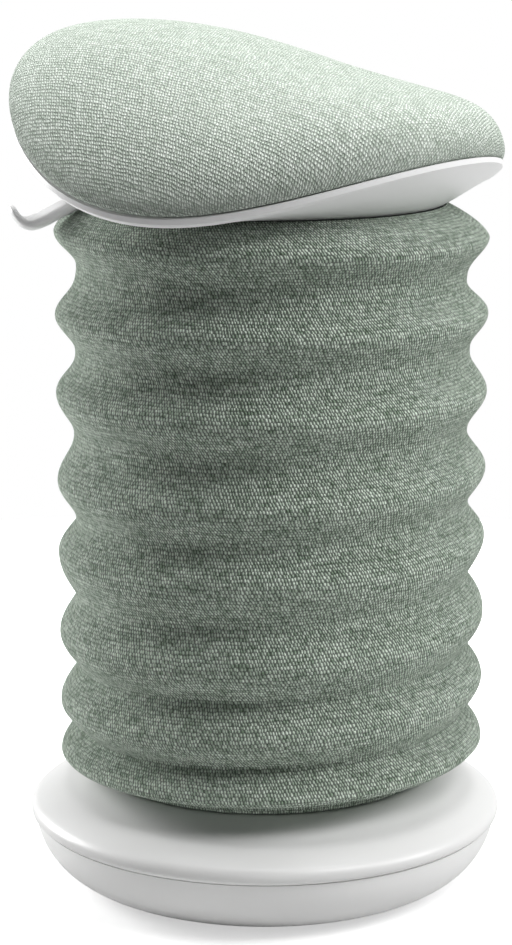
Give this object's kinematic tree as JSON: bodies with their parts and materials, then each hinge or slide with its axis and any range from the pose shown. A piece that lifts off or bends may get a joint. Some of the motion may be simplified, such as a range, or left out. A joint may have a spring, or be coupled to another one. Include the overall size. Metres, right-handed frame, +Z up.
{
  "type": "wobble stool",
  "caption": "Height-adjustable rocking stool: round weighted base, ribbed knitted sleeve over the column, saddle seat pad in a shallow pan, and a lift lever under the seat.",
  "frame": {"origin": "on the floor, on the axis of the round base", "axes": "+Z up along the column; -Y is the seat's front, so the seat is mirror-symmetric about the YZ plane"},
  "size_m": [0.3774, 0.3858, 0.6787],
  "materials": {
    "base_plastic": "satin white moulded plastic",
    "cover_plastic": "glossy white moulded plastic",
    "pan_plastic": "glossy white moulded plastic",
    "dark_plastic": "dark grey moulded plastic, hidden",
    "knit": "sage green melange knit",
    "rubber": "matt black rubber",
    "spring_wire": "drawn spring wire",
    "bright_steel": "ground bright steel",
    "zinc_steel": "zinc plated steel",
    "black_steel": "black powder coated steel",
    "cast_iron": "raw cast iron, hidden",
    "bearing_brass": "plain bearing bronze, hidden"
  },
  "bodies": {
    "base": {"base_shell": "base_plastic", "base_cover": "cover_plastic", "foot_ring": "rubber", "ballast_plate": "cast_iron", "base_yoke": "black_steel", "yoke_bolts": "zinc_steel", "cover_screws": "zinc_steel", "base_cups": "bearing_brass", "tilt_buffer": "rubber", "hem_ring": "dark_plastic", "hem_panel": "knit"},
    "cross": {"pivot_cross": "bright_steel", "hoop_1": "spring_wire", "panel_1": "knit"},
    "column": {"column_foot": "black_steel", "column_cups": "bearing_brass", "stand_tube": "black_steel", "guide_bush": "dark_plastic", "thrust_bearing": "bearing_brass", "hoop_2": "spring_wire", "panel_2": "knit"},
    "ring_3": {"hoop_3": "spring_wire", "panel_3": "knit"},
    "ring_4": {"hoop_4": "spring_wire", "panel_4": "knit"},
    "ring_5": {"hoop_5": "spring_wire", "panel_5": "knit"},
    "ring_6": {"hoop_6": "spring_wire", "panel_6": "knit"},
    "ring_7": {"hoop_7": "spring_wire", "panel_7": "knit"},
    "ring_8": {"hoop_8": "spring_wire", "neck_panel": "knit"},
    "ring_top": {"top_ring": "dark_plastic"},
    "rod": {"piston_rod": "bright_steel", "rod_clip": "zinc_steel"},
    "seat": {"gas_cylinder": "black_steel", "mechanism_plate": "black_steel", "plate_bolts": "zinc_steel", "plate_nuts": "zinc_steel", "board_screws": "zinc_steel", "seat_pan": "pan_plastic", "sleeve_collar": "dark_plastic", "seat_board": "dark_plastic", "seat_pad": "knit", "lever_pin": "bright_steel"},
    "lever": {"lever": "pan_plastic"},
    "valve": {"valve_pin": "bright_steel"}
  },
  "joints": [
    {"name": "rock_sideways", "type": "hinge", "parent": "base", "child": "cross", "pos_m": [0, 0, 0.048], "axis": [1, 0, 0], "range_deg": [-6, 6], "stiffness_Nm_per_rad": 300, "deforming": ["hem_panel"]},
    {"name": "rock_lengthways", "type": "hinge", "parent": "cross", "child": "column", "pos_m": [0, 0, 0.048], "axis": [0, 1, 0], "range_deg": [-6, 6], "stiffness_Nm_per_rad": 300, "deforming": ["panel_1"]},
    {"name": "stretch_3", "type": "slide", "parent": "column", "child": "ring_3", "axis": [0, 0, 1], "range_m": [-0.0155, 0.0124], "deforming": ["panel_2"]},
    {"name": "stretch_4", "type": "slide", "parent": "ring_3", "child": "ring_4", "axis": [0, 0, 1], "range_m": [-0.0155, 0.0124], "deforming": ["panel_3"]},
    {"name": "stretch_5", "type": "slide", "parent": "ring_4", "child": "ring_5", "axis": [0, 0, 1], "range_m": [-0.0155, 0.0124], "deforming": ["panel_4"]},
    {"name": "stretch_6", "type": "slide", "parent": "ring_5", "child": "ring_6", "axis": [0, 0, 1], "range_m": [-0.0155, 0.0124], "deforming": ["panel_5"]},
    {"name": "stretch_7", "type": "slide", "parent": "ring_6", "child": "ring_7", "axis": [0, 0, 1], "range_m": [-0.0155, 0.0124], "deforming": ["panel_6"]},
    {"name": "stretch_8", "type": "slide", "parent": "ring_7", "child": "ring_8", "axis": [0, 0, 1], "range_m": [-0.0155, 0.0124], "deforming": ["panel_7"]},
    {"name": "stretch_top", "type": "slide", "parent": "ring_8", "child": "ring_top", "axis": [0, 0, 1], "range_m": [-0.007, 0.0056], "deforming": ["neck_panel"]},
    {"name": "swivel", "type": "hinge", "parent": "column", "child": "rod", "pos_m": [0, 0, 0.08], "axis": [0, 0, 1], "continuous": true},
    {"name": "lift", "type": "slide", "parent": "rod", "child": "seat", "axis": [0, 0, 1], "range_m": [-0.1, 0.08]},
    {"name": "lever_pull", "type": "hinge", "parent": "seat", "child": "lever", "pos_m": [-0.02616, 0.02172, 0.5704], "axis": [0.6388, 0.7694, 0], "range_deg": [0, 4.5], "stiffness_Nm_per_rad": 3},
    {"name": "valve_press", "type": "slide", "parent": "seat", "child": "valve", "axis": [0, 0, -1], "range_m": [0, 0.0028]}
  ],
  "couplings": [
    {"joint": "stretch_3", "follows": "lift", "ratio": 0.155},
    {"joint": "stretch_4", "follows": "lift", "ratio": 0.155},
    {"joint": "stretch_5", "follows": "lift", "ratio": 0.155},
    {"joint": "stretch_6", "follows": "lift", "ratio": 0.155},
    {"joint": "stretch_7", "follows": "lift", "ratio": 0.155},
    {"joint": "stretch_8", "follows": "lift", "ratio": 0.155},
    {"joint": "stretch_top", "follows": "lift", "ratio": 0.07},
    {"joint": "valve_press", "follows": "lever_pull", "m_per_rad": 0.034}
  ]
}
